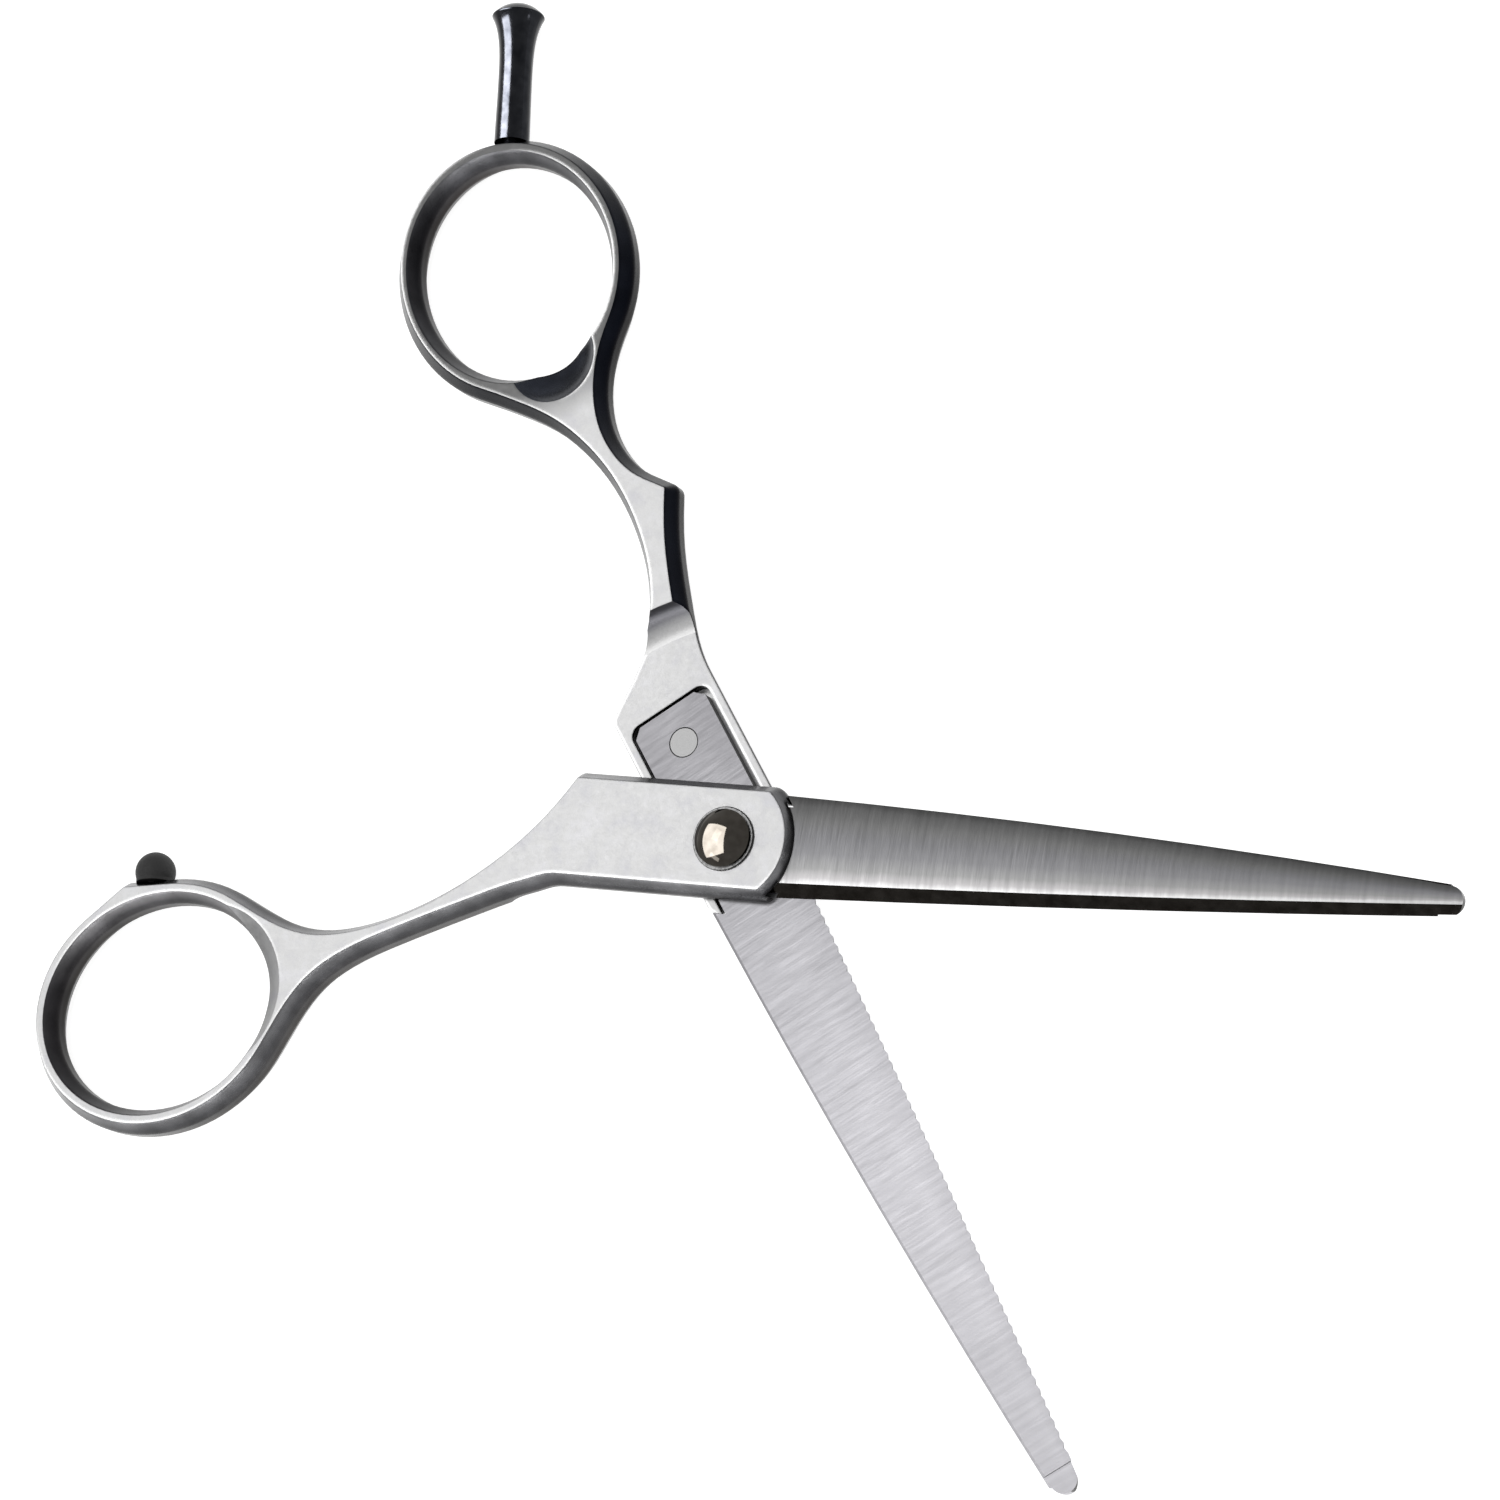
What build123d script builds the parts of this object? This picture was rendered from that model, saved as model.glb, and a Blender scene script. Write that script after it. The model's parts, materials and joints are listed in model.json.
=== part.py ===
"""Hairdresser's shears: two cast handles with inlaid blades on one pivot.

Millimetres. The origin is on the pivot axis, level with the outer face that the
closed or open shears rest on. +X runs from the pivot to the tip of the thumb
half's blade, and +Z points out of the thumb half's outer face.

Each half is drawn in its own half frame, where the blade points along +X, the
cutting edge is on -Y and the outer face is up. The finger half's frame is the
thumb half's, turned over about X and swung open about the pivot.
"""

import os
from math import cos, hypot, radians, sin, sqrt

from build123d import *

os.makedirs("parts", exist_ok=True)

# ---- driving dimensions ----
arm_thickness = 5.0          # handle arms and rings, face to face
ride_gap = 0.06              # running gap between the two inner faces
open_angle = 52.3            # angle between the blades in the drawn pose
thumb_blade_length = 78.6    # pivot axis to tip
finger_blade_length = 77.3
blade_thickness = 1.3
blade_edge_thickness = 1.15  # where the cutting bevel starts
blade_spine_thickness = 0.95
bevel_width = 1.35
tooth_pitch = 1.16
tooth_depth = 0.26
tip_half_width = 1.45
tip_relief_length = 2.6      # shallow step on the inner face at the tip
tip_relief_depth = 0.12

plate_half_width = 5.9       # the thumb handle's plate, from its centre line to its lower side
thumb_spine_side = 6.2
plate_end_radius = 7.7       # rounded end of the thumb handle, about the pivot
finger_spine_side = 5.5      # the finger handle's plate, from its centre line to each side
finger_edge_side = 6.3
finger_plate_end_radius = 7.3
wall_taper = 0.92            # how far each face edge stands in from the wall's middle
wall_taper_height = 1.8      # how far down the wall that taper reaches
cove_start = 23.8            # distance from the pivot where the arm thickens
cove_radius = 3.2

tang_start = -17.1
tang_half_width = 4.45
tang_offset = -0.3           # the tang sits a little towards the cutting edge
tang_gap = 0.35              # visible gap round the inlaid tang
tang_edge_gap = 0.6          # the same gap on the cutting edge's side
shoulder_gap = 0.05          # between the blade's shoulders and the rounded handle end
rivet_x = -12.9
rivet_radius = 1.65

barrel_radius = 2.2          # pivot barrel of the nut
running_clearance = 0.05
screw_radius = 1.5
head_radius = 3.05
head_height = 1.45
head_rim = 0.3
washer_radius = 3.4
washer_thickness = 0.25
flange_radius = 3.55
flange_thickness = 0.68
spring_washer_thickness = 0.3

ring_wall = 2.65             # radial width of a finger ring
thumb_ring_x, thumb_ring_y = -63.35, -22.75
thumb_ring_long, thumb_ring_short = 15.55, 13.85
thumb_ring_turn = 20.0
pad_start, pad_stop = 77.0, 118.0  # ring parameters where the bumper pad's flats leave the ring
finger_ring_x, finger_ring_y = -70.75, -8.1
finger_ring_long, finger_ring_short = 15.62, 13.72
finger_ring_turn = 0.0
# A round hollow leads from each arm's face into its hole. Each has its centre in the
# half frame, its radius in the face, and the height of its sphere's centre above the face.
thumb_scoop = (-58.0, -20.8, 9.4, 8.1)
finger_scoop = (-58.4, -7.6, 5.0, 4.0)

bumper_radius = 2.2
bumper_from_corner = 2.8    # along the pad, from its corner
bumper_centre_height = 1.15  # ball centre above the pad
bumper_collar_radius = 2.05
bumper_stem_radius = 0.8
rest_parameter = 152.7       # ring parameter of the finger rest's seat
rest_turn = 150.1            # direction of the finger rest, from +X of the closed half
rest_length = 16.1
rest_lift = 0.4              # of its axis towards the visible face
rest_stem_radius = 1.93
rest_waist_radius = 1.85
rest_flare_radius = 2.88
rest_stud_radius = 1.0
rest_dome_height = 1.3
rest_spotface = 0.1          # flat cut in the ring for the rest's foot
stud_depth = 1.8

# ---- derived ----
ride = arm_thickness / 2
inner = ride + ride_gap / 2                  # inner face, in either half frame
tang_floor = inner + blade_thickness         # bottom of the tang pocket
cove_end = cove_start + sqrt(cove_radius**2 - (cove_radius - inner) ** 2)

thumb_frame = Plane.XY
finger_frame = Plane(
    origin=(0, 0, arm_thickness),
    x_dir=(cos(radians(open_angle)), -sin(radians(open_angle)), 0),
    z_dir=(0, 0, -1),
)


def edge_half_width(x):
    """Distance from the blade's centre line to its cutting edge."""
    return 5.4 - 0.0355 * x - 0.000205 * x * x


def spine_half_width(x):
    """Distance from the blade's centre line to its spine."""
    return 5.45 - 0.0135 * x - 0.00047 * x * x


def ring_point(ring, parameter, scale=1.0):
    """Point on a ring's outer ellipse, or on a scaled one, at an ellipse parameter in degrees."""
    ring_x, ring_y, long_radius, short_radius, turn = ring
    u = scale * long_radius * cos(radians(parameter))
    v = scale * short_radius * sin(radians(parameter))
    c, s = cos(radians(turn)), sin(radians(turn))
    return (ring_x + u * c - v * s, ring_y + u * s + v * c)


def plate_end(radius, top, bottom):
    """Start and end points of the rounded handle end."""
    upper = (sqrt(radius**2 - top**2), top)
    lower = (sqrt(radius**2 - bottom**2), bottom)
    return upper, lower


def taper_walls(frame):
    """Lean every wall in towards both faces."""
    builder = BuildPart._get_context(None)
    for height in (0, arm_thickness):
        face_plane = frame.offset(height)
        rim = [e for e in builder.edges() if abs(face_plane.to_local_coords(e.center()).Z) < 1e-4]
        rim = [e for e in rim if abs(face_plane.to_local_coords(e @ 0.3).Z) < 1e-4]
        reference = builder.faces().sort_by(Axis(frame.origin, frame.z_dir))[0 if height == 0 else -1]
        chamfer(rim, length=wall_taper, length2=wall_taper_height, reference=reference)


def half_thickness_cut(frame):
    """Remove the inner half of the thickness round the pivot, ending in a cove."""
    with BuildSketch(Plane(frame.origin, x_dir=frame.x_dir, z_dir=frame.y_dir * -1)) as profile:
        with BuildLine():
            floor = Line((0, inner), (cove_start, inner))
            cove = RadiusArc(floor @ 1, (cove_end, 0), cove_radius)
            Polyline(cove @ 1, (cove_end, -1), (0, -1), (0, inner))
        make_face()
    revolve(profile.sketch, axis=Axis(frame.origin, frame.z_dir), mode=Mode.SUBTRACT)


def scoop_out(face, scoop):
    """Hollow a handle's upper face beside its hole with a sphere."""
    x, y, radius, height = scoop
    upward = height if face.z_dir.Z > 0 else -height
    with Locations(face.from_local_coords(Vector(x, y, upward))):
        Sphere(hypot(radius, height), mode=Mode.SUBTRACT)


def tang_pocket_and_holes(frame):
    """Pocket for the blade's tang, blind rivet hole and pivot hole."""
    reach = plate_end_radius + 2 - tang_start
    width = 2 * tang_half_width + tang_gap + tang_edge_gap
    with BuildSketch(frame.offset(inner)) as pocket:
        with Locations((tang_start - tang_gap + reach / 2, tang_offset + (tang_gap - tang_edge_gap) / 2)):
            RectangleRounded(reach, width, 1.3)
    extrude(pocket.sketch, amount=blade_thickness, mode=Mode.SUBTRACT)
    with BuildSketch(frame.offset(tang_floor)) as rivet_hole:
        with Locations((rivet_x, tang_offset)):
            Circle(rivet_radius)
    extrude(rivet_hole.sketch, amount=0.7, mode=Mode.SUBTRACT)


def blade_body(frame, blade_length, handle_end_radius):
    """Blade with a flat inner face, crowned outer face, cutting bevel and tang."""
    stations = [4.0, 24.0, 44.0, 62.0, blade_length + 1.5]
    sections = []
    for x in stations:
        section = Plane(frame.from_local_coords(Vector(x, 0, 0)), x_dir=frame.y_dir, z_dir=frame.x_dir)
        edge, spine = -edge_half_width(x), spine_half_width(x)
        taper = 1 - 0.25 * x / blade_length
        bevel = bevel_width * taper
        with BuildSketch(section) as station:
            with BuildLine():
                cut = Line((edge, inner), (edge + bevel, inner + blade_edge_thickness * taper))
                crown = ThreePointArc(
                    cut @ 1,
                    (0.45 * (edge + bevel) + 0.55 * spine, inner + blade_thickness * taper),
                    (spine, inner + blade_spine_thickness * taper),
                )
                Polyline(crown @ 1, (spine, inner + 0.15), (spine - 0.3, inner), (edge, inner))
            make_face()
        sections.append(station.sketch)
    loft(sections)
    # rounded tip
    half = tip_half_width
    with BuildSketch(frame.offset(inner - 1)) as outline:
        with BuildLine():
            Polyline((3, 8), (3, -8), (blade_length - half, -8), (blade_length - half, -half))
            RadiusArc((blade_length - half, -half), (blade_length, 0), -half)
            RadiusArc((blade_length, 0), (blade_length - half, half), -half)
            Polyline((blade_length - half, half), (blade_length - half, 8), (3, 8))
        make_face()
    extrude(outline.sketch, amount=4, mode=Mode.INTERSECT)
    with BuildSketch(frame.offset(inner)) as relief:
        with Locations((blade_length - tip_relief_length / 2, 0)):
            Rectangle(tip_relief_length, 8)
    extrude(relief.sketch, amount=tip_relief_depth, mode=Mode.SUBTRACT)
    # shoulders: outside the tang's width, the blade starts beyond the handle end
    with BuildSketch(frame.offset(inner - 1)) as shoulders:
        Circle(handle_end_radius + shoulder_gap)
        with Locations((0, tang_offset)):
            Rectangle(60, 2 * tang_half_width, mode=Mode.SUBTRACT)
    extrude(shoulders.sketch, amount=4, mode=Mode.SUBTRACT)
    # tang
    with BuildSketch(frame.offset(inner)) as tang:
        with BuildLine():
            w = tang_half_width
            Polyline(
                (5.0, tang_offset - w), (5.0, tang_offset + w), (tang_start + 1, tang_offset + w),
                (tang_start, tang_offset + w - 1), (tang_start, tang_offset - w + 1),
                (tang_start + 1, tang_offset - w), (5.0, tang_offset - w),
            )
        make_face()
    extrude(tang.sketch, amount=blade_thickness)
    with BuildSketch(frame.offset(inner - 1)) as holes:
        Circle(barrel_radius + running_clearance)
        with Locations((rivet_x, tang_offset)):
            Circle(rivet_radius)
    extrude(holes.sketch, amount=4, mode=Mode.SUBTRACT)


def rivet_body(frame):
    """Rivet pressed through the tang into the handle, flush with the inner face."""
    with BuildSketch(frame.offset(inner)) as profile:
        with Locations((rivet_x, tang_offset)):
            Circle(rivet_radius)
    extrude(profile.sketch, amount=blade_thickness + 0.65)
    chamfer(edges().group_by(Axis(frame.origin, frame.z_dir))[0], length=0.12)


thumb_ring = (thumb_ring_x, thumb_ring_y, thumb_ring_long, thumb_ring_short, thumb_ring_turn)
finger_ring = (finger_ring_x, finger_ring_y, finger_ring_long, finger_ring_short, finger_ring_turn)

# The pad's two flats are tangents to the ring, so they meet at this corner.
pad_half_span = radians((pad_stop - pad_start) / 2)
pad_corner = ring_point(thumb_ring, (pad_start + pad_stop) / 2, 1 / cos(pad_half_span))
pad_edge = ring_point(thumb_ring, pad_start)
pad_along = Vector(pad_edge[0] - pad_corner[0], pad_edge[1] - pad_corner[1], 0).normalized()
pad_normal = Vector(-pad_along.Y, pad_along.X, 0)
pad_seat = Vector(pad_corner[0], pad_corner[1], ride) + pad_along * bumper_from_corner
# Pad frame: X is the pad's normal and Y points across the handle's thickness.
pad_frame = Plane(origin=pad_seat, x_dir=pad_normal, z_dir=pad_along)
rest_seat = ring_point(finger_ring, -rest_parameter)
rest_direction = Vector(cos(radians(-rest_turn)), sin(radians(-rest_turn)), 0)
rest_frame = Plane(
    origin=finger_frame.from_local_coords(Vector(rest_seat[0], rest_seat[1], ride - rest_lift)),
    x_dir=finger_frame.from_local_coords(rest_direction) - finger_frame.origin,
    z_dir=finger_frame.z_dir,
)

# ---- thumb handle: plate, arm and ring, cast in one piece ----
with BuildPart() as thumb_handle:
    with BuildSketch(thumb_frame):
        with BuildLine():
            end_top, end_bottom = plate_end(plate_end_radius, thumb_spine_side, -plate_half_width)
            RadiusArc(end_bottom, end_top, -plate_end_radius)
            corner = (-18.4, thumb_spine_side)
            Line(end_top, corner)
            upper_arc = EllipticalCenterArc(
                (thumb_ring_x, thumb_ring_y), thumb_ring_long, thumb_ring_short,
                start_angle=44, arc_size=pad_start - 44, rotation=thumb_ring_turn,
            )
            lower_arc = EllipticalCenterArc(
                (thumb_ring_x, thumb_ring_y), thumb_ring_long, thumb_ring_short,
                start_angle=pad_stop, arc_size=318 - pad_stop, rotation=thumb_ring_turn,
            )
            Polyline(upper_arc @ 1, pad_corner, lower_arc @ 0)
            Spline(
                corner, (-22.1, 0.8), (-27.9, -4.9), (-36.2, -10.2), (-46.6, -12.9), upper_arc @ 0,
                tangents=((-0.5, -0.87), upper_arc % 0),
            )
            lower_corner = (-19.4, -plate_half_width)
            Spline(
                lower_arc @ 1, (-45.2, -19.3), (-36.8, -13.5), (-28.0, -9.4), (-23.4, -7.4), lower_corner,
                tangents=(lower_arc % 1, (0.92, 0.39)),
            )
            Line(lower_corner, end_bottom)
        make_face()
        fillet(vertices().sort_by(Axis.X)[-2:], radius=1.4)
        fillet(vertices().sort_by_distance((corner[0], corner[1], 0))[0], radius=1.1)
        fillet(vertices().sort_by_distance((lower_corner[0], lower_corner[1], 0))[0], radius=5)
        fillet(vertices().sort_by_distance((pad_corner[0], pad_corner[1], 0))[0], radius=1.1)
        with Locations((thumb_ring_x, thumb_ring_y)):
            Ellipse(thumb_ring_long - ring_wall, thumb_ring_short - ring_wall,
                    rotation=thumb_ring_turn, mode=Mode.SUBTRACT)
    extrude(amount=arm_thickness)
    taper_walls(thumb_frame)
    scoop_out(thumb_frame.offset(arm_thickness), thumb_scoop)
    half_thickness_cut(thumb_frame)
    tang_pocket_and_holes(thumb_frame)
    with BuildSketch(thumb_frame.offset(tang_floor - 0.5)):
        Circle(barrel_radius + running_clearance)
    extrude(amount=3, mode=Mode.SUBTRACT)
    stem_hole = Plane(pad_frame.origin, z_dir=pad_frame.x_dir)
    with Locations(stem_hole):
        Cylinder(bumper_stem_radius, 2 * stud_depth, mode=Mode.SUBTRACT)
thumb_handle.part.label = "thumb_handle"
export_step(thumb_handle.part, "parts/thumb_handle.step")


# ---- finger handle: plate, arm with finger saddle, and ring ----
with BuildPart() as finger_handle:
    with BuildSketch(finger_frame):
        with BuildLine():
            end_top, end_bottom = plate_end(finger_plate_end_radius, finger_spine_side, -finger_edge_side)
            RadiusArc(end_bottom, end_top, -finger_plate_end_radius)
            corner = (-19.4, finger_spine_side)
            Line(end_top, corner)
            ring_arc = EllipticalCenterArc(
                (finger_ring_x, finger_ring_y), finger_ring_long, finger_ring_short,
                start_angle=48, arc_size=277, rotation=finger_ring_turn,
            )
            Spline(
                corner, (-24.7, -1.7), (-29.3, -4.7), (-36.0, -6.45), (-43.3, -6.45), (-48.6, -5.2),
                (-53.2, -3.05), (-56.9, -0.5), ring_arc @ 0,
                tangents=((-0.6, -0.8), ring_arc % 0),
            )
            bump = (-37.7, -12.9)
            Spline(
                ring_arc @ 1, (-53.3, -11.6), (-46.4, -9.4), (-41.8, -10.3), bump,
                tangents=(ring_arc % 1, (0.86, -0.52)),
            )
            lower_corner = (-18.6, -finger_edge_side)
            Spline(
                bump, (-32.7, -10.3), (-25.4, -7.7), lower_corner,
                tangents=((0.86, 0.5), (0.99, 0.02)),
            )
            Line(lower_corner, end_bottom)
        make_face()
        fillet(vertices().sort_by(Axis.X)[-2:], radius=1.4)
        fillet(vertices().sort_by_distance((corner[0], corner[1], 0))[0], radius=1.1)
        fillet(vertices().sort_by_distance((bump[0], bump[1], 0))[0], radius=1.1)
        with Locations((finger_ring_x, finger_ring_y)):
            Ellipse(finger_ring_long - ring_wall, finger_ring_short - ring_wall,
                    rotation=finger_ring_turn, mode=Mode.SUBTRACT)
    extrude(amount=arm_thickness)
    taper_walls(finger_frame)
    half_thickness_cut(finger_frame)
    scoop_out(finger_frame, finger_scoop)
    tang_pocket_and_holes(finger_frame)
    with BuildSketch(finger_frame.offset(tang_floor - 0.5)):
        Circle(flange_radius + 0.1)
    extrude(amount=3, mode=Mode.SUBTRACT)
    stud_hole = Plane(rest_frame.origin, z_dir=rest_frame.x_dir)
    with Locations(stud_hole):
        Cylinder(rest_stud_radius, 2 * stud_depth, mode=Mode.SUBTRACT)
        with Locations((0, 0, -rest_spotface)):
            Cylinder(rest_stem_radius, 2, align=(Align.CENTER, Align.CENTER, Align.MIN), mode=Mode.SUBTRACT)
finger_handle.part.label = "finger_handle"
export_step(finger_handle.part, "parts/finger_handle.step")

with BuildPart() as thumb_blade:
    blade_body(thumb_frame, thumb_blade_length, plate_end_radius)
thumb_blade.part.label = "thumb_blade"
export_step(thumb_blade.part, "parts/thumb_blade.step")

with BuildPart() as finger_blade:
    blade_body(finger_frame, finger_blade_length, finger_plate_end_radius)
    # fine serration along the cutting edge
    tooth_count = int((finger_blade_length - 12) / tooth_pitch)
    with BuildSketch(finger_frame.offset(inner - 1)):
        with BuildLine():
            start_x = 9.0
            points = [(start_x, -edge_half_width(start_x) - 1)]
            for i in range(tooth_count):
                root_x = start_x + i * tooth_pitch
                points.append((root_x, -edge_half_width(root_x) - 0.02))
                points.append((root_x + 0.35 * tooth_pitch, -edge_half_width(root_x) + tooth_depth))
            end_x = start_x + tooth_count * tooth_pitch
            points.append((end_x, -edge_half_width(end_x) - 0.02))
            points.append((end_x, -edge_half_width(start_x) - 1))
            Polyline(*points, close=True)
        make_face()
    extrude(amount=4, mode=Mode.SUBTRACT)
finger_blade.part.label = "finger_blade"
export_step(finger_blade.part, "parts/finger_blade.step")

# ---- rivets that fix the tangs ----
with BuildPart() as thumb_blade_rivet:
    rivet_body(thumb_frame)
thumb_blade_rivet.part.label = "thumb_blade_rivet"
export_step(thumb_blade_rivet.part, "parts/thumb_blade_rivet.step")

with BuildPart() as finger_blade_rivet:
    rivet_body(finger_frame)
finger_blade_rivet.part.label = "finger_blade_rivet"
export_step(finger_blade_rivet.part, "parts/finger_blade_rivet.step")

# ---- pivot: domed screw, dark washer, barrel nut and spring washer ----
head_seat = arm_thickness + washer_thickness
barrel_top = arm_thickness - 0.35
screw_tip = 1.5
dome_radius = (head_radius**2 + (head_height - head_rim) ** 2) / (2 * (head_height - head_rim))
with BuildPart() as pivot_screw:
    with BuildSketch(Plane.XZ):
        with BuildLine():
            Polyline((0, screw_tip), (screw_radius - 0.2, screw_tip), (screw_radius, screw_tip + 0.2))
            Line((screw_radius, screw_tip + 0.2), (screw_radius, head_seat))
            Line((screw_radius, head_seat), (head_radius, head_seat))
            rim = Line((head_radius, head_seat), (head_radius, head_seat + head_rim))
            dome = RadiusArc(rim @ 1, (0, head_seat + head_height), -dome_radius)
            Line(dome @ 1, (0, screw_tip))
        make_face()
    revolve(axis=Axis.Z)
pivot_screw.part.label = "pivot_screw"
export_step(pivot_screw.part, "parts/pivot_screw.step")

with BuildPart() as head_washer:
    with BuildSketch(Plane.XY.offset(arm_thickness)):
        Circle(washer_radius)
        Circle(screw_radius + 0.1, mode=Mode.SUBTRACT)
    extrude(amount=washer_thickness)
    fillet(edges().group_by(Axis.Z)[-1].sort_by(SortBy.RADIUS)[-1], radius=0.12)
head_washer.part.label = "head_washer"
export_step(head_washer.part, "parts/head_washer.step")

with BuildPart() as tension_nut:
    with BuildSketch(Plane.XY):
        Circle(flange_radius)
    extrude(amount=flange_thickness)
    chamfer(edges().group_by(Axis.Z)[0], length=0.1)
    with BuildSketch(Plane.XY.offset(flange_thickness)):
        Circle(barrel_radius)
    extrude(amount=barrel_top - flange_thickness)
    with BuildSketch(Plane.XY.offset(screw_tip - 0.3)):
        Circle(screw_radius + running_clearance)
    extrude(amount=barrel_top, mode=Mode.SUBTRACT)
    # two blind spanner holes
    with BuildSketch(Plane.XY):
        with PolarLocations(2.35, 2):
            Circle(0.5)
    extrude(amount=0.4, mode=Mode.SUBTRACT)
tension_nut.part.label = "tension_nut"
export_step(tension_nut.part, "parts/tension_nut.step")

with BuildPart() as spring_washer:
    washer_low = flange_thickness + 0.03
    washer_high = arm_thickness - tang_floor - 0.01
    dish = washer_high - washer_low - 0.26
    with BuildSketch(Plane.XZ):
        with BuildLine():
            Polyline(
                (barrel_radius + 0.12, washer_low + dish), (barrel_radius + 0.12, washer_high),
                (flange_radius - 0.1, washer_high - dish), (flange_radius - 0.1, washer_low),
                close=True,
            )
        make_face()
    revolve(axis=Axis.Z)
spring_washer.part.label = "spring_washer"
export_step(spring_washer.part, "parts/spring_washer.step")

# ---- finger rest: turned post with a flared, domed end and a stud ----
dome_edge = rest_flare_radius - 0.12
rest_dome_radius = (dome_edge**2 + rest_dome_height**2) / (2 * rest_dome_height)
with BuildPart() as finger_rest:
    with BuildSketch(rest_frame):
        with BuildLine():
            foot = -rest_spotface
            Polyline(
                (-stud_depth, 0), (-stud_depth, rest_stud_radius), (foot, rest_stud_radius),
                (foot, rest_stem_radius),
            )
            stem = Spline(
                (foot, rest_stem_radius), (0.45 * rest_length, rest_waist_radius), tangents=((1, 0), (1, 0)),
            )
            flare = Spline(
                stem @ 1, (rest_length - rest_dome_height - 0.35, rest_flare_radius - 0.05),
                tangents=((1, 0), (0.88, 0.47)),
            )
            lip = ThreePointArc(
                flare @ 1, (rest_length - rest_dome_height - 0.15, rest_flare_radius),
                (rest_length - rest_dome_height, dome_edge),
            )
            dome = RadiusArc(lip @ 1, (rest_length, 0), rest_dome_radius)
            Line(dome @ 1, (-stud_depth, 0))
        make_face()
    revolve(axis=Axis(rest_frame.origin, rest_frame.x_dir))
finger_rest.part.label = "finger_rest"
export_step(finger_rest.part, "parts/finger_rest.step")

# ---- rubber bumper: ball on a collar, with a stem pushed into the ring ----
with BuildPart() as bumper:
    with BuildSketch(pad_frame):
        with BuildLine():
            collar_meet = bumper_centre_height - sqrt(bumper_radius**2 - bumper_collar_radius**2)
            Polyline(
                (-stud_depth, 0), (-stud_depth, bumper_stem_radius), (0, bumper_stem_radius),
                (0, bumper_collar_radius), (collar_meet, bumper_collar_radius),
            )
            ball = ThreePointArc(
                (collar_meet, bumper_collar_radius), (bumper_centre_height, bumper_radius),
                (bumper_centre_height + bumper_radius, 0),
            )
            Line(ball @ 1, (-stud_depth, 0))
        make_face()
    revolve(axis=Axis(pad_frame.origin, pad_frame.x_dir))
bumper.part.label = "bumper"
export_step(bumper.part, "parts/bumper.step")
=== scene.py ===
"""Looks for the hairdresser's shears: materials, floor, light and camera.

Everything is in metres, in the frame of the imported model. The thumb half's blade
points along +X, and the finger half is the same half turned over and swung open.
"""

import json
from math import atan2, cos, pi, radians, sin

import bpy
from mathutils import Matrix, Vector


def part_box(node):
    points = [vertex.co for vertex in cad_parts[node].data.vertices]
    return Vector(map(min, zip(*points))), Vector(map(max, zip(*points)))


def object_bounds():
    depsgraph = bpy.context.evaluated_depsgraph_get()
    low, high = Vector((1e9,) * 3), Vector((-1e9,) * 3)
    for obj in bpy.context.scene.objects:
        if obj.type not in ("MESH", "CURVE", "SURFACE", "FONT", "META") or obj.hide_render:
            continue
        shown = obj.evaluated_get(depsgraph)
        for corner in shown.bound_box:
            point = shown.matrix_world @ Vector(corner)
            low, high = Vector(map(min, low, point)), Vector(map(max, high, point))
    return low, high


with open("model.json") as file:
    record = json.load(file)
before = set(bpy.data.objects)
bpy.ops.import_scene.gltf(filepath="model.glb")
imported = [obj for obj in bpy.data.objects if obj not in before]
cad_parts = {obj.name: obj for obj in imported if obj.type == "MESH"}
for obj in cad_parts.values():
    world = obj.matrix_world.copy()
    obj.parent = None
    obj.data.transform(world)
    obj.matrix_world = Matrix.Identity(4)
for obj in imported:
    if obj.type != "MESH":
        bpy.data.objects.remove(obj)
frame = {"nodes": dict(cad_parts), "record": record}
cad_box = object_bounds()
nodes = frame["nodes"]
MM = 0.001


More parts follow.
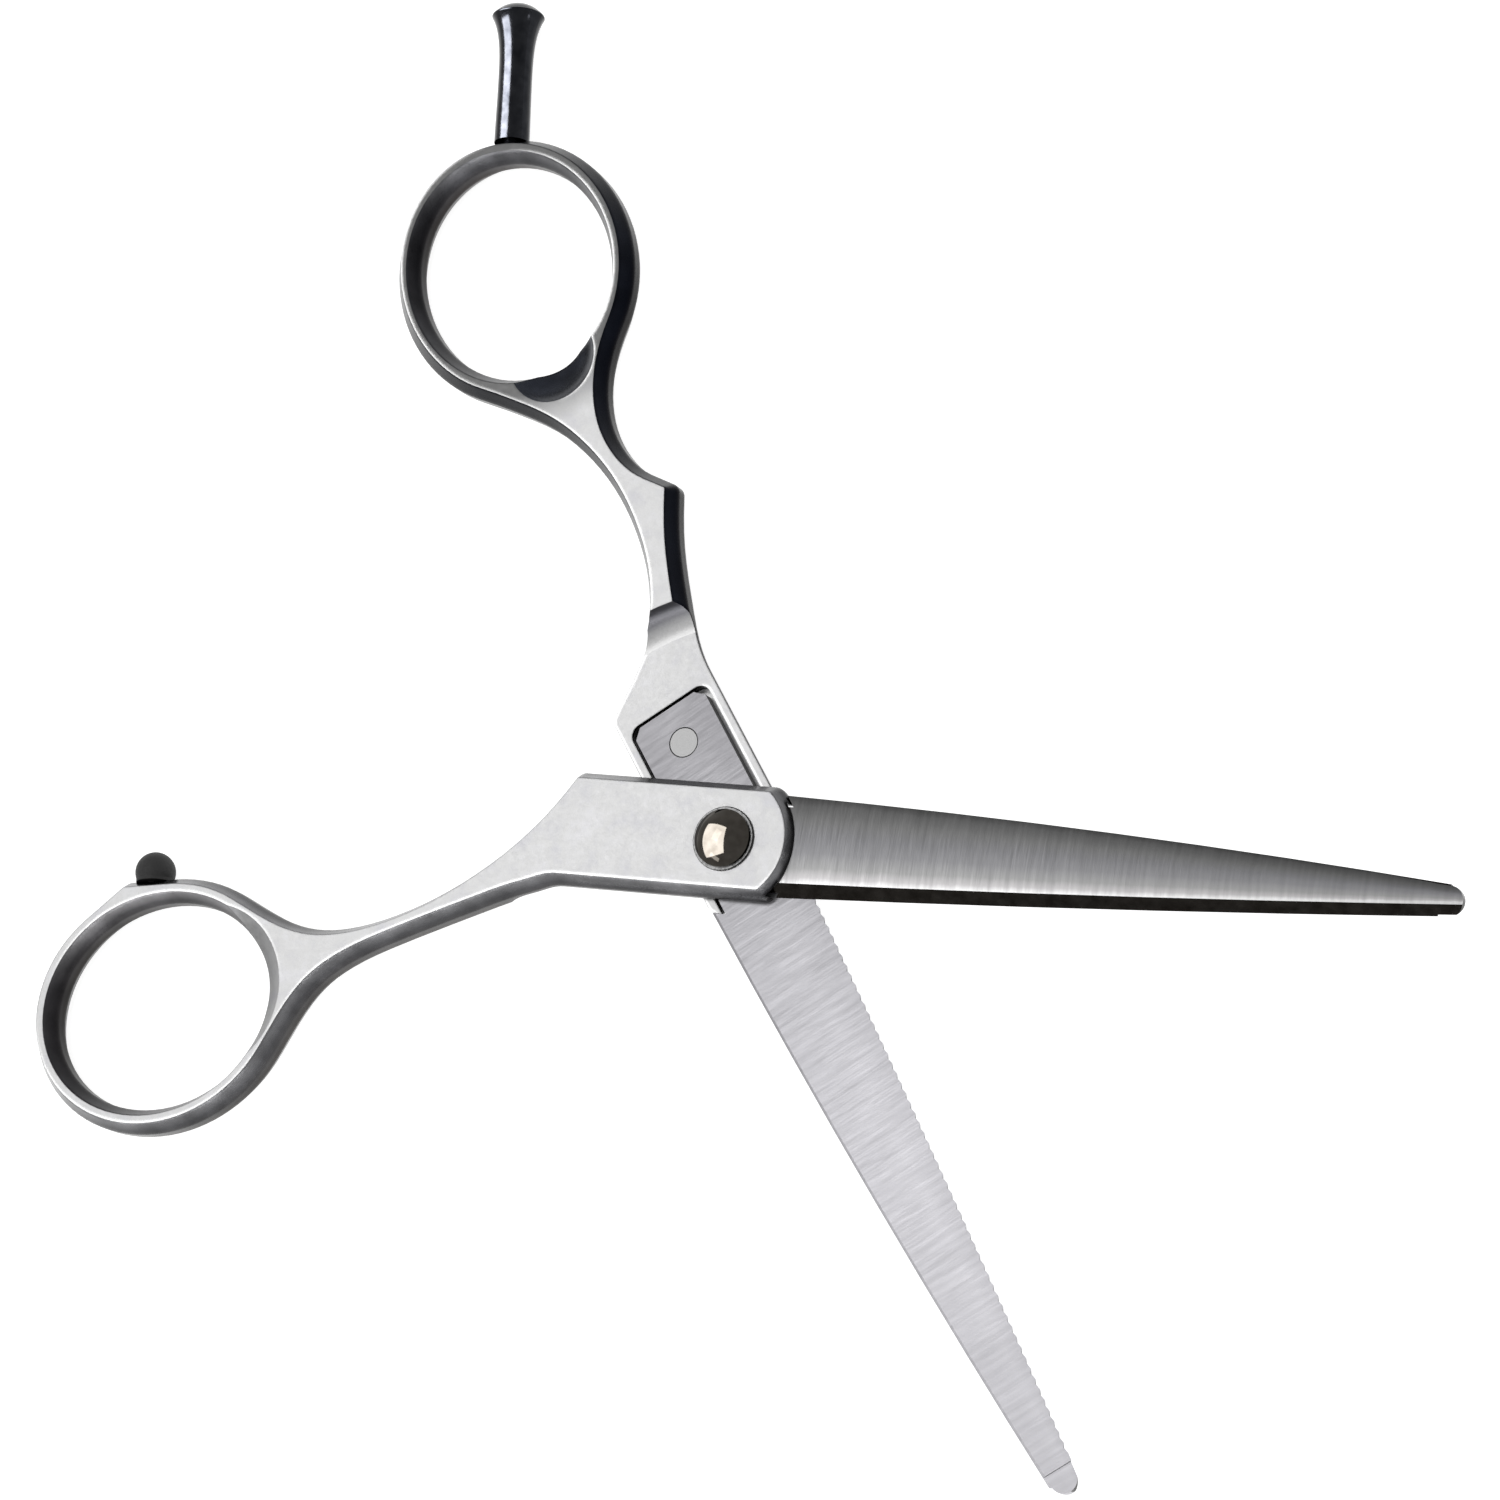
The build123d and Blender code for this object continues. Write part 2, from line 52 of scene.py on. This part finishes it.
# ---- small helpers for node materials ----
class Shader:
    """A principled material and the nodes that feed it."""

    def __init__(self, name, color, metallic, roughness, **sockets):
        self.material = bpy.data.materials.new(name)
        self.material.use_nodes = True
        self.nodes = self.material.node_tree.nodes
        self.links = self.material.node_tree.links
        self.principled = self.nodes["Principled BSDF"]
        self.principled.inputs["Base Color"].default_value = (*color, 1)
        self.principled.inputs["Metallic"].default_value = metallic
        self.principled.inputs["Roughness"].default_value = roughness
        for socket, value in sockets.items():
            self.principled.inputs[socket.replace("_", " ")].default_value = value
        self.place = self.nodes.new("ShaderNodeTexCoord").outputs["Object"]

    def node(self, kind, inputs=None, **settings):
        """Add a node, set its properties, and set or link its inputs."""
        made = self.nodes.new(kind)
        for key, value in settings.items():
            setattr(made, key, value)
        for key, value in (inputs or {}).items():
            if isinstance(value, bpy.types.NodeSocket):
                self.links.new(value, made.inputs[key])
            else:
                made.inputs[key].default_value = value
        return made

    def turned(self, angle):
        """Object position in axes turned by an angle about Z, in millimetres."""
        return self.node(
            "ShaderNodeMapping", {0: self.place, 2: (0, 0, -angle), 3: (1 / MM,) * 3}, vector_type="POINT",
        ).outputs[0]

    def stretched(self, position, scales):
        return self.node("ShaderNodeVectorMath", {0: position, 1: scales}, operation="MULTIPLY").outputs[0]

    def noise(self, position, scale, detail=3.0, roughness=0.5):
        made = self.node("ShaderNodeTexNoise", {"Vector": position, "Scale": scale, "Detail": detail,
                                               "Roughness": roughness})
        return made.outputs["Fac"]

    def along(self, position, axis):
        """One coordinate of a position, 'X', 'Y' or 'Z'."""
        return self.node("ShaderNodeSeparateXYZ", {0: position}).outputs[axis]

    def facing(self, normal, angle):
        """How far a normal leans towards a direction about Z, from -1 to 1."""
        direction = (cos(angle), sin(angle), 0)
        made = self.node("ShaderNodeVectorMath", {0: normal, 1: direction}, operation="DOT_PRODUCT")
        return made.outputs["Value"]

    def math(self, operation, a, b=0.0, c=0.0):
        return self.node("ShaderNodeMath", {0: a, 1: b, 2: c}, operation=operation).outputs[0]

    def curve(self, value, constant, slope, curvature):
        """Quadratic curve of a value."""
        return self.math("MULTIPLY_ADD", self.math("MULTIPLY_ADD", value, curvature, slope), value, constant)

    def spread(self, value, low, high, to_low=0.0, to_high=1.0):
        """Map a value's range to another, clamped."""
        return self.node("ShaderNodeMapRange", {0: value, 1: low, 2: high, 3: to_low, 4: to_high}).outputs[0]

    def ramp(self, factor, stops):
        """Colours along a factor, from (position, colour) pairs."""
        made = self.node("ShaderNodeValToRGB", {0: factor})
        elements = made.color_ramp.elements
        while len(elements) < len(stops):
            elements.new(0.5)
        for element, (position, color) in zip(elements, stops):
            element.position = position
            element.color = (*color, 1) if len(color) == 3 else color
        return made.outputs[0]

    def mix(self, factor, a, b, blend="MIX"):
        made = self.node("ShaderNodeMix", data_type="RGBA", blend_type=blend)
        for socket, value in ((0, factor), (6, a), (7, b)):
            if isinstance(value, bpy.types.NodeSocket):
                self.links.new(value, made.inputs[socket])
            else:
                made.inputs[socket].default_value = value if socket == 0 else (*value, 1)
        return made.outputs[2]

    def bump(self, height, strength, distance, edge=0.0):
        """Fine relief, on edges that are rounded off by a radius in metres."""
        made = self.node("ShaderNodeBump", {"Height": height, "Strength": strength, "Distance": distance})
        if edge:
            rounded = self.node("ShaderNodeBevel", {"Radius": edge}, samples=6)
            self.links.new(rounded.outputs[0], made.inputs["Normal"])
        self.links.new(made.outputs[0], self.principled.inputs["Normal"])

    def drive(self, socket, value):
        self.links.new(value, self.principled.inputs[socket])


def grey(level, red=0.0, blue=0.0):
    """Linear colour from a display level of 0 to 255, with a little more or less red and blue."""
    def linear(value):
        value = min(max(value, 0), 255) / 255
        return value / 12.92 if value <= 0.04045 else ((value + 0.055) / 1.055) ** 2.4
    return (linear(level + red), linear(level), linear(level + blue))


# ---- metals ----
def blade_direction(name):
    """Direction of a blade's centre line from the pivot, in radians about Z."""
    far = max((v.co for v in nodes[name].data.vertices), key=lambda co: co.x ** 2 + co.y ** 2)
    return atan2(far.y, far.x)


FINGER_ANGLE = blade_direction("finger_blade")
EDGE = 0.22 * MM          # radius to which a handle face's edges look rounded
RIDGE = 0.7 * MM          # the same for the ridges of its walls
HIGHLIGHT_WIDTH = 0.6 * MM    # width of the painted highlight along a face's edge
RING_SHADE_FADE = (20, 15)      # mm from the hole's middle over which the arm's face fades into the ring's painted shade
HANDLE_THICKNESS = 5      # mm


def satin_face(name, level, highlight_side=None, ring_shade=None):
    """Frosted, fine-blasted handle face: soft mottling and a very fine grain.

    The third argument is the direction, in radians about Z, of the edges that get a painted highlight, a
    near-white line along them.
    The fourth argument is the (centre, level) of a finger ring whose face is darkened with painted shade."""
    s = Shader(name, grey(level), 1.0, 0.45)
    position = s.turned(0)
    cloud = s.noise(position, 0.35, 4.0, 0.6)
    mottle = s.noise(position, 1.6, 5.0, 0.7)
    grain = s.noise(position, 9.0, 2.0, 0.6)
    tone = s.ramp(cloud, [(0.3, grey(level - 7, 0, 3)), (0.5, grey(level)), (0.72, grey(level + 5, 0, 2))])
    speck = s.ramp(mottle, [(0.34, grey(232)), (0.66, grey(255))])
    color = s.mix(1.0, tone, speck, "MULTIPLY")
    # Painted shade: the face darkens over the finger ring, as its rounded section would.
    if ring_shade:
        centre, ring_shade_level = ring_shade
        distance = s.node("ShaderNodeVectorMath", {0: position, 1: centre / MM}, operation="DISTANCE")
        in_ring = s.spread(distance.outputs["Value"], *RING_SHADE_FADE)
        color = s.mix(in_ring, color, grey(ring_shade_level))
    # Painted highlight: the face turns near-white along its edges that face the given side.
    if highlight_side is not None:
        edge = s.node("ShaderNodeBevel", {"Radius": HIGHLIGHT_WIDTH}, samples=6).outputs[0]
        side = s.facing(edge, highlight_side)
        color = s.mix(s.spread(side, 0.04, 0.3), color, grey(250))
    s.drive("Base Color", color)
    s.drive("Roughness", s.spread(mottle, 0.3, 0.7, 0.38, 0.52))
    s.bump(grain, 0.35, 0.02 * MM, EDGE)
    return s.material


def cove_steel(name, steep, flat):
    """Satin hollow with painted shade: darker where it stands up and bright where it runs out flat."""
    s = Shader(name, grey(flat), 1.0, 0.4)
    normal = s.nodes.new("ShaderNodeTexCoord").outputs["Normal"]
    grain = s.noise(s.turned(0), 5.0, 4.0, 0.65)
    # Painted shade: the colour follows the slope of the surface.
    slope_shade = s.spread(s.along(normal, "Z"), 0.45, 1.0)
    middle = 0.6 * steep + 0.4 * flat
    tone = s.ramp(slope_shade, [(0.0, grey(steep, 0, 4)), (0.55, grey(middle, 0, 4)), (0.95, grey(flat))])
    speck = s.ramp(grain, [(0.35, grey(240)), (0.65, grey(255))])
    s.drive("Base Color", s.mix(1.0, tone, speck, "MULTIPLY"))
    s.drive("Roughness", s.spread(grain, 0.3, 0.7, 0.36, 0.46))
    s.bump(grain, 0.2, 0.02 * MM)
    return s.material


def dark_wall(name, shade_levels, top, low, roughness=0.3, lit_side=None):
    """Polished wall of a handle, its dark colour a painted reflection, with painted shade that lightens from
    its back edge up to its face.

    top and low are the (red, blue) tints of that painted shading by the face and the back. The last argument
    is the (angle, brightness steps) of a side given a painted highlight, paler than the rest, with the angle
    in radians about Z."""
    s = Shader(name, grey(shade_levels[1]), 1.0, roughness)
    position = s.turned(0)
    height = s.spread(s.along(position, "Z"), 0, HANDLE_THICKNESS)

    def tones(steps):
        heights = (0.05, 0.4, 0.75, 0.97)
        tints = (low, low, top, top)
        return s.ramp(height, [(at, grey(level, *tint)) for at, level, tint in zip(heights, steps, tints)])

    # Painted shading: the wall's colour steps by height, dark at its back edge and lighter by its face.
    tone = tones(shade_levels)
    cloud = s.noise(position, 0.3, 4.0, 0.55)
    shade = s.ramp(cloud, [(0.3, grey(190)), (0.7, grey(255))])
    # Painted highlight: the side that faces the given angle is painted paler.
    if lit_side:
        normal = s.nodes.new("ShaderNodeTexCoord").outputs["Normal"]
        tone = s.mix(s.spread(s.facing(normal, lit_side[0]), 0.35, 0.95), tone, tones(lit_side[1]))
    s.drive("Base Color", s.mix(1.0, tone, shade, "MULTIPLY"))
    scratches = s.noise(s.stretched(position, (1.0, 1.0, 7.0)), 2.5, 4.0, 0.65)
    s.drive("Roughness", s.spread(scratches, 0.3, 0.7, roughness - 0.07, roughness + 0.08))
    s.bump(scratches, 0.12, 0.01 * MM, RIDGE)
    return s.material


WAVE_SCALE = 2 * pi / 20    # the wave texture turns by 20 radians a unit
# Distance in mm of the thumb blade's +Y side from its centre line, and about the width of its face,
# as (constant, slope, curvature) along its length. The finger blade's tones hardly vary across it,
# so the same curves serve there.
SIDE_CURVE = (5.45, -0.0135, -0.00047)
WIDTH_CURVE = (9.6, -0.049, -0.000675)


def ground_steel(name, angle, stops, spacing, lift, roughness=0.36, root_shade=255):
    """Steel ground across its length, with painted shading that changes over the width.

    stops are (share of the blade's own width, from its +Y side, colour), the painted shading across it.
    Painted shade darkens the steel to the root level of 255 towards the blade's root, where the handles
    shade it."""
    s = Shader(name, stops[0][1], 1.0, roughness)
    position = s.turned(angle)
    lines = s.noise(s.stretched(position, (1 / spacing, 0.05, 1.0)), 1.0, 6.0, 0.62)
    fine = s.noise(s.stretched(position, (9.0 / spacing, 0.35, 1.0)), 1.0, 3.0, 0.6)
    length = s.along(position, "X")
    side = s.curve(length, *SIDE_CURVE)
    width = s.curve(length, *WIDTH_CURVE)
    across = s.math("DIVIDE", s.math("SUBTRACT", side, s.along(position, "Y")), width)
    chatter = s.node("ShaderNodeTexWave", {
        "Vector": position, "Scale": WAVE_SCALE / spacing, "Distortion": 1.6,
        "Detail": 2.0, "Detail Scale": 0.6,
    }).outputs["Fac"]
    wander = s.math("MULTIPLY_ADD", lines, 0.10, s.math("SUBTRACT", across, 0.05))
    # Painted shading: the colour across the width stands in for the ground face's reflections.
    tone = s.ramp(wander, stops)
    streak = s.ramp(lines, [(0.34, grey(255 - lift)), (0.66, grey(255))])
    hair = s.ramp(fine, [(0.3, grey(246)), (0.7, grey(255))])
    # Painted shade: the steel darkens towards its root by the pivot, where the handles shade it.
    root = s.spread(length, -12, 40)
    shade = s.ramp(root, [(0.0, grey(root_shade)), (0.45, grey(0.5 * root_shade + 127)), (1.0, grey(255))])
    band = s.ramp(chatter, [(0.1, grey(255 - 0.5 * lift)), (0.9, grey(255))])
    marks = s.mix(1.0, s.mix(1.0, streak, hair, "MULTIPLY"), s.mix(1.0, shade, band, "MULTIPLY"), "MULTIPLY")
    s.drive("Base Color", s.mix(1.0, tone, marks, "MULTIPLY"))
    s.drive("Roughness", s.spread(fine, 0.3, 0.7, roughness - 0.06, roughness + 0.08))
    s.bump(s.math("MULTIPLY_ADD", fine, 0.35, lines), 0.22, 0.015 * MM)
    return s.material


def polished(name, level, red=0.0, blue=0.0, roughness=0.08):
    """Mirror-polished metal with faint hairlines."""
    s = Shader(name, grey(level, red, blue), 1.0, roughness)
    position = s.turned(0)
    cloud = s.noise(position, 0.8, 3.0, 0.5)
    hair = s.noise(s.stretched(position, (1.0, 6.0, 6.0)), 6.0, 2.0, 0.5)
    tone = s.ramp(cloud, [(0.3, grey(level - 6, red, blue)), (0.7, grey(level + 8, red, blue))])
    s.drive("Base Color", tone)
    s.drive("Roughness", s.spread(hair, 0.3, 0.7, roughness * 0.7, roughness * 1.6))
    s.bump(hair, 0.03, 0.01 * MM)
    return s.material


def turned_steel(name, level, axis_xy, roughness=0.32):
    """Lathe-turned steel: fine rings about an upright axis."""
    s = Shader(name, grey(level), 1.0, roughness)
    position = s.turned(0)
    to_axis = (-axis_xy[0] / MM, -axis_xy[1] / MM, 0)
    offset = s.node("ShaderNodeVectorMath", {0: position, 1: to_axis}).outputs[0]
    flat = s.stretched(offset, (1.0, 1.0, 0.0))
    radius = s.node("ShaderNodeVectorMath", {0: flat}, operation="LENGTH").outputs[1]
    rings = s.noise(s.node("ShaderNodeCombineXYZ", {0: radius}).outputs[0], 14.0, 3.0, 0.6)
    s.drive("Base Color", s.ramp(rings, [(0.3, grey(level - 18)), (0.7, grey(level + 8))]))
    s.drive("Roughness", s.spread(rings, 0.3, 0.7, roughness - 0.08, roughness + 0.1))
    s.bump(rings, 0.15, 0.01 * MM)
    return s.material


def rubber(name):
    """Matte black moulded rubber with a fine skin."""
    s = Shader(name, grey(20), 0.0, 0.62)
    position = s.turned(0)
    skin = s.noise(position, 5.0, 4.0, 0.6)
    s.drive("Base Color", s.ramp(skin, [(0.3, grey(9)), (0.7, grey(20))]))
    s.drive("Roughness", s.spread(skin, 0.3, 0.7, 0.55, 0.75))
    s.bump(skin, 0.3, 0.03 * MM)
    return s.material


def shadow_washer(name):
    """Thin dark washer under the screw head; its dark colour is a painted shadow, the contact shadow round
    the head.
    """
    s = Shader(name, grey(38), 1.0, 0.34)
    position = s.turned(0)
    wear = s.noise(position, 3.0, 4.0, 0.6)
    s.drive("Base Color", s.ramp(wear, [(0.35, grey(26)), (0.75, grey(58))]))
    s.drive("Roughness", s.spread(wear, 0.3, 0.7, 0.28, 0.45))
    s.bump(wear, 0.1, 0.01 * MM)
    return s.material


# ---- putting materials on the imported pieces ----
def dress(name, materials, choose=None):
    """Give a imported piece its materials; choose(polygon) gives the index of each polygon's own."""
    mesh = nodes[name].data
    mesh.materials.clear()
    for material in materials:
        mesh.materials.append(material)
    for polygon in mesh.polygons:
        polygon.use_smooth = True
        polygon.material_index = choose(polygon) if choose else 0


def hole_centre(name):
    """Middle of a finger hole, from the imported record."""
    opening = next(o for o in frame["record"]["physics"]["openings"] if o["name"] == name)
    low, high = (Vector(corner) for corner in opening["box_m"])
    return (low + high) / 2


COVE_RADII = (22.5 * MM, 28.0 * MM)    # of the coves, from the pivot axis
HOLE_REACH = 17.5 * MM                 # from a hole's middle to past its scooped rim


def handle_parts(hole):
    """Chooser for a handle's polygons, by the hole's name.

    0 flat faces, 1 outer walls, 2 cove where the arm thickens, 3 walls of the hole, 4 its scooped rim."""
    centre = hole_centre(hole)

    def choose(polygon):
        normal = polygon.normal
        if abs(normal.z) > 0.999:
            return 0
        outward = Vector((polygon.center.x, polygon.center.y, 0))
        level = Vector((normal.x, normal.y, 0))
        radial = abs(outward.normalized().dot(level.normalized()))
        if COVE_RADII[0] < outward.length < COVE_RADII[1] and radial > 0.85:
            return 2
        inward = Vector((centre.x - polygon.center.x, centre.y - polygon.center.y, 0))
        if inward.length < HOLE_REACH and inward.dot(normal) > 0:
            return 4 if normal.z > 0.55 else 3
        return 1

    return choose


thumb_handle_looks = [
    satin_face("satin_thumb_face", 186, radians(-90)),
    dark_wall("polished_thumb_wall", (36, 56, 74, 112), (0, 2), (3, -3), 0.24),
    cove_steel("satin_thumb_cove", 120, 190),
    dark_wall("polished_thumb_hole", (16, 30, 44, 60), (1, 2), (3, -3), 0.34,
              (radians(-75), (12, 46, 82, 150))),
    satin_face("satin_thumb_scoop", 150),
]
finger_handle_looks = [
    satin_face("satin_finger_face", 186, radians(-170), (hole_centre("finger_hole"), 96)),
    dark_wall("polished_finger_wall", (8, 11, 14, 20), (-2, 6), (4, -2), 0.26),
    cove_steel("satin_finger_cove", 70, 190),
    dark_wall("polished_finger_hole", (14, 24, 36, 56), (0, 3), (5, -2), 0.32,
              (radians(-85), (24, 56, 84, 130))),
    dark_wall("polished_finger_scoop", (40, 46, 52, 60), (-3, 8), (-2, 6), 0.3),
]
dress("thumb_handle", thumb_handle_looks, handle_parts("thumb_hole"))
dress("finger_handle", finger_handle_looks, handle_parts("finger_hole"))

# Painted shading across the thumb blade: darkest by the spine, lightest by the bevel.
thumb_painted_shading = [(0.0, grey(60)), (0.09, grey(80)), (0.27, grey(94)), (0.45, grey(101, 0, 2)),
               (0.64, grey(113, 0, 2)), (0.82, grey(136)), (0.93, grey(168, 2, 1)), (1.0, grey(215))]
thumb_face = ground_steel("ground_thumb_blade_painted_shading", 0.0, thumb_painted_shading, 0.8, 9)
inner_tones = [(0.0, grey(172, 1, 4)), (0.5, grey(182, 1, 4)), (1.0, grey(178, 1, 4))]
finger_face = ground_steel("ground_finger_blade", FINGER_ANGLE, inner_tones, 1.05, 12, 0.42, 200)
# Painted reflection: the bevel's near-black colour stands for polished steel reflecting dark surroundings.
bevel = polished("polished_bevel", 24, 2, -2, 0.16)


def thumb_blade_part(polygon):
    """1 on the bevel and the upright walls, 0 on the crowned face."""
    return 1 if 0.5 < abs(polygon.normal.z) < 0.93 or abs(polygon.normal.z) < 0.2 else 0


def finger_blade_part(polygon):
    """1 on the bevel and the serrations, 0 on the faces and the spine."""
    towards_edge = polygon.center.y * cos(FINGER_ANGLE) - polygon.center.x * sin(FINGER_ANGLE)
    return 1 if abs(polygon.normal.z) < 0.93 and towards_edge > 0 else 0


dress("thumb_blade", [thumb_face, bevel], thumb_blade_part)
dress("finger_blade", [finger_face, bevel], finger_blade_part)
rivet_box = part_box("finger_blade_rivet")
rivet = turned_steel("turned_rivet", 128, rivet_box[0].lerp(rivet_box[1], 0.5))
dress("thumb_blade_rivet", [rivet])
dress("finger_blade_rivet", [rivet])
# Painted reflection: the screw's dark colour stands for its chrome dome reflecting dark surroundings; lamps
# give its highlights.
dress("pivot_screw", [polished("polished_screw", 58, 3, -4, 0.05)])
# Painted shadow: the washer's dark ring stands for the shadow round the screw head.
dress("head_washer", [shadow_washer("shadow_washer")])
dress("tension_nut", [turned_steel("turned_nut", 170, (0, 0))])
dress("spring_washer", [turned_steel("turned_spring", 140, (0, 0))])
# Painted reflection: the finger rest's dark colour stands for polished metal reflecting dark surroundings.
dress("finger_rest", [polished("polished_rest", 32, -1, 3, 0.14)])
dress("bumper", [rubber("rubber_skin")])


# ---- floor, light and camera ----
LAMP_DISTANCE = 0.9


def floor():
    bpy.ops.mesh.primitive_plane_add(size=6, location=(0, 0, -0.02 * MM))
    plane = bpy.context.object
    plane.name = "studio_floor"
    s = Shader("pale_floor", (0.5, 0.5, 0.5), 0.0, 0.9, Emission_Color=(1, 1, 1, 1), Emission_Strength=0.85)
    plane.data.materials.append(s.material)


def softbox(name, azimuth, elevation, size, radiance, only=()):
    """Rectangular light of a given brightness, facing the object's middle from a direction.

    only names the pieces that it lights, where it is there for their reflections alone."""
    middle = (cad_box[0] + cad_box[1]) / 2
    away = Vector((cos(radians(elevation)) * cos(radians(azimuth)),
                   cos(radians(elevation)) * sin(radians(azimuth)), sin(radians(elevation))))
    light = bpy.data.lights.new(name, "AREA")
    light.shape = "RECTANGLE"
    light.size, light.size_y = size
    light.energy = radiance * pi * size[0] * size[1]
    lamp = bpy.data.objects.new(name, light)
    lamp.location = middle + away * LAMP_DISTANCE
    lamp.rotation_euler = away.to_track_quat("Z", "Y").to_euler()
    bpy.context.scene.collection.objects.link(lamp)
    if only:
        lit = bpy.data.collections.new("lit_by_" + name)
        for piece in only:
            lit.objects.link(nodes[piece])
        lamp.light_linking.receiver_collection = lit


def room():
    """A soft white room, brightest at the horizon and dimmer overhead."""
    world = bpy.data.worlds.new("room")
    world.use_nodes = True
    tree = world.node_tree
    direction = tree.nodes.new("ShaderNodeTexCoord")
    split = tree.nodes.new("ShaderNodeSeparateXYZ")
    glow = tree.nodes.new("ShaderNodeMapRange")
    tree.links.new(direction.outputs["Generated"], split.inputs[0])
    tree.links.new(split.outputs["Z"], glow.inputs[0])
    for socket, value in zip((1, 2, 3, 4), (0.1, 0.6, 1.0, 0.8)):
        glow.inputs[socket].default_value = value
    tree.links.new(glow.outputs[0], tree.nodes["Background"].inputs["Strength"])
    tree.nodes["Background"].inputs["Color"].default_value = (1, 1, 1, 1)
    bpy.context.scene.world = world


def studio():
    room()
    bpy.context.scene.view_settings.view_transform = "Standard"
    softbox("key", 160, 61, (0.42, 0.3), 3.4)
    softbox("edge_light", -127, 36, (0.4, 0.16), 5)
    softbox("front_strip", -98, 8, (1.1, 0.14), 7)
    softbox("corner_strip", -58, 7, (0.3, 0.1), 14)
    softbox("glint", -5, 12, (0.07, 0.07), 20)
    softbox("screw_window", 182, 53, (1.3, 1.1), 18, ["pivot_screw", "head_washer"])
    softbox("screw_glint", -42, 24, (0.3, 0.24), 18, ["pivot_screw"])
    softbox("rest_strip", 165, 50, (0.75, 0.7), 46, ["finger_rest"])


def camera():
    """Long lens, looking down on the open shears from beyond the blades."""
    aim = Vector((0.0663, 10.0806, 2.5)) * MM
    azimuth, elevation, roll = -25.05, 62.0, -58.0
    distance = 551.98 * MM
    away = Vector((cos(radians(elevation)) * cos(radians(azimuth)),
                   cos(radians(elevation)) * sin(radians(azimuth)), sin(radians(elevation))))
    data = bpy.data.cameras.new("camera")
    data.lens = 128.155
    data.sensor_width = 36
    data.clip_start = 0.01
    view = bpy.data.objects.new("camera", data)
    turn = away.to_track_quat("Z", "Y").to_matrix().to_4x4() @ Matrix.Rotation(radians(roll), 4, "Z")
    view.matrix_world = Matrix.Translation(aim + away * distance) @ turn
    bpy.context.scene.collection.objects.link(view)
    bpy.context.scene.camera = view


floor()
studio()
camera()
